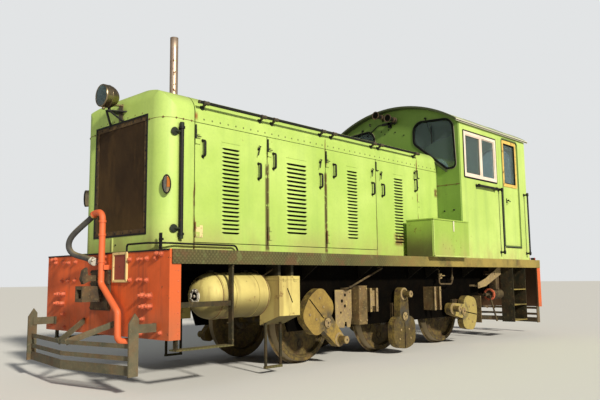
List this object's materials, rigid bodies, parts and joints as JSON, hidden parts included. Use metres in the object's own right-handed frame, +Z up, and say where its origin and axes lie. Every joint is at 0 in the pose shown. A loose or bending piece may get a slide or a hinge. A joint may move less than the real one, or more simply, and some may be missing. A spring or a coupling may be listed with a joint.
{
  "type": "diesel shunting locomotive",
  "caption": "End-cab diesel shunting locomotive with a long hood, outside frames, fly cranks, hinged engine doors, cab doors and toolbox lids.",
  "frame": {"origin": "mid length on the centreline, level with the lowest points of the wheel flanges", "axes": "+X forward from cab to nose, +Y to the left, +Z up"},
  "size_m": [9.045, 2.67, 3.9138],
  "materials": {
    "body_paint": "weathered lime green gloss paint",
    "roof_paint": "weathered green roof paint with a pale edge",
    "buffer_paint": "faded red orange paint",
    "deck_steel": "worn olive brown chequer plate",
    "frame_paint": "dark paint under sandy dust",
    "tank_paint": "stained cream paint",
    "wheel_steel": "dusty forged steel",
    "crank_steel": "forged steel under sandy dust",
    "spring_steel": "rusty dark steel",
    "grille_paint": "dark brown paint",
    "black_paint": "chipped black paint",
    "pipe_steel": "dark grey paint with rust",
    "stack_steel": "rusty bare steel",
    "lamp_metal": "dulled bright metal",
    "cab_interior": "satin grey green paint",
    "engine_paint": "oily grey paint",
    "window_glass": "dusty clear glass",
    "hose_rubber": "ribbed dark grey rubber",
    "seat_cover": "worn dark covering"
  },
  "bodies": {
    "underframe": {"deck_plate": "deck_steel", "valances": "deck_steel", "headstocks": "buffer_paint", "side_frames": "frame_paint", "frame_stretchers": "frame_paint", "frame_brackets": "frame_paint", "axleboxes": "frame_paint", "leaf_springs": "spring_steel", "brake_gear": "frame_paint", "air_tanks": "tank_paint", "side_boxes": "tank_paint", "step_hangers": "frame_paint", "step_treads": "deck_steel", "pilots": "frame_paint", "couplers": "pipe_steel", "brake_pipes": "buffer_paint", "brake_hose_front": "hose_rubber", "brake_hose_rear": "hose_rubber", "nose_cowl": "body_paint", "radiator_grille": "grille_paint", "hood_roof": "body_paint", "hood_frame": "body_paint", "hood_side_panels": "body_paint", "engine_block": "engine_paint", "cab_floor": "cab_interior", "cab_front_wall": "body_paint", "cab_rear_wall": "body_paint", "cab_side_left": "body_paint", "cab_side_right": "body_paint", "cab_roof": "roof_paint", "cab_glass": "window_glass", "control_desk": "cab_interior", "seat_frame": "black_paint", "seat_cushions": "seat_cover", "handrails": "black_paint", "rail_stanchions": "black_paint", "nose_pipes": "pipe_steel", "exhaust_stack": "stack_steel", "lamps": "lamp_metal", "horns": "pipe_steel", "toolboxes": "body_paint"},
    "wheelset_front": {"wheels_front": "wheel_steel", "crank_axle_front": "crank_steel"},
    "wheelset_middle": {"wheels_middle": "wheel_steel", "crank_axle_middle": "crank_steel"},
    "wheelset_rear": {"wheels_rear": "wheel_steel", "crank_axle_rear": "crank_steel"},
    "hood_door_left_1": {"hood_door_left_1": "body_paint"},
    "hood_door_left_2": {"hood_door_left_2": "body_paint"},
    "hood_door_left_3": {"hood_door_left_3": "body_paint"},
    "cab_door_left": {"cab_door_left": "body_paint", "cab_door_glass_left": "window_glass"},
    "toolbox_lid_left": {"toolbox_lid_left": "body_paint"},
    "hood_door_right_1": {"hood_door_right_1": "body_paint"},
    "hood_door_right_2": {"hood_door_right_2": "body_paint"},
    "hood_door_right_3": {"hood_door_right_3": "body_paint"},
    "cab_door_right": {"cab_door_right": "body_paint", "cab_door_glass_right": "window_glass"},
    "toolbox_lid_right": {"toolbox_lid_right": "body_paint"}
  },
  "joints": [
    {"name": "wheelset_front_spin", "type": "hinge", "parent": "underframe", "child": "wheelset_front", "pos_m": [1.694, 0, 0.508], "axis": [0, 1, 0], "continuous": true},
    {"name": "wheelset_middle_spin", "type": "hinge", "parent": "underframe", "child": "wheelset_middle", "pos_m": [0.063, 0, 0.508], "axis": [0, 1, 0], "continuous": true},
    {"name": "wheelset_rear_spin", "type": "hinge", "parent": "underframe", "child": "wheelset_rear", "pos_m": [-1.552, 0, 0.508], "axis": [0, 1, 0], "continuous": true},
    {"name": "hood_door_left_1_hinge", "type": "hinge", "parent": "underframe", "child": "hood_door_left_1", "pos_m": [3.507, 0.812, 2.05], "axis": [0, 0, -1], "range_deg": [0, 90]},
    {"name": "hood_door_left_2_hinge", "type": "hinge", "parent": "underframe", "child": "hood_door_left_2", "pos_m": [2.452, 0.812, 2.05], "axis": [0, 0, -1], "range_deg": [0, 90]},
    {"name": "hood_door_left_3_hinge", "type": "hinge", "parent": "underframe", "child": "hood_door_left_3", "pos_m": [1.412, 0.812, 2.05], "axis": [0, 0, -1], "range_deg": [0, 90]},
    {"name": "cab_door_left_hinge", "type": "hinge", "parent": "underframe", "child": "cab_door_left", "pos_m": [-3.35, 1.155, 2.475], "axis": [0, 0, -1], "range_deg": [0, 90]},
    {"name": "toolbox_lid_left_hinge", "type": "hinge", "parent": "underframe", "child": "toolbox_lid_left", "pos_m": [-0.7795, 0.863, 1.862], "axis": [1, 0, 0], "range_deg": [0, 90]},
    {"name": "hood_door_right_1_hinge", "type": "hinge", "parent": "underframe", "child": "hood_door_right_1", "pos_m": [3.507, -0.812, 2.05], "axis": [0, 0, 1], "range_deg": [0, 90]},
    {"name": "hood_door_right_2_hinge", "type": "hinge", "parent": "underframe", "child": "hood_door_right_2", "pos_m": [2.452, -0.812, 2.05], "axis": [0, 0, 1], "range_deg": [0, 90]},
    {"name": "hood_door_right_3_hinge", "type": "hinge", "parent": "underframe", "child": "hood_door_right_3", "pos_m": [1.412, -0.812, 2.05], "axis": [0, 0, 1], "range_deg": [0, 90]},
    {"name": "cab_door_right_hinge", "type": "hinge", "parent": "underframe", "child": "cab_door_right", "pos_m": [-3.35, -1.155, 2.475], "axis": [0, 0, 1], "range_deg": [0, 90]},
    {"name": "toolbox_lid_right_hinge", "type": "hinge", "parent": "underframe", "child": "toolbox_lid_right", "pos_m": [-0.7795, -0.863, 1.862], "axis": [-1, 0, 0], "range_deg": [0, 90]}
  ]
}
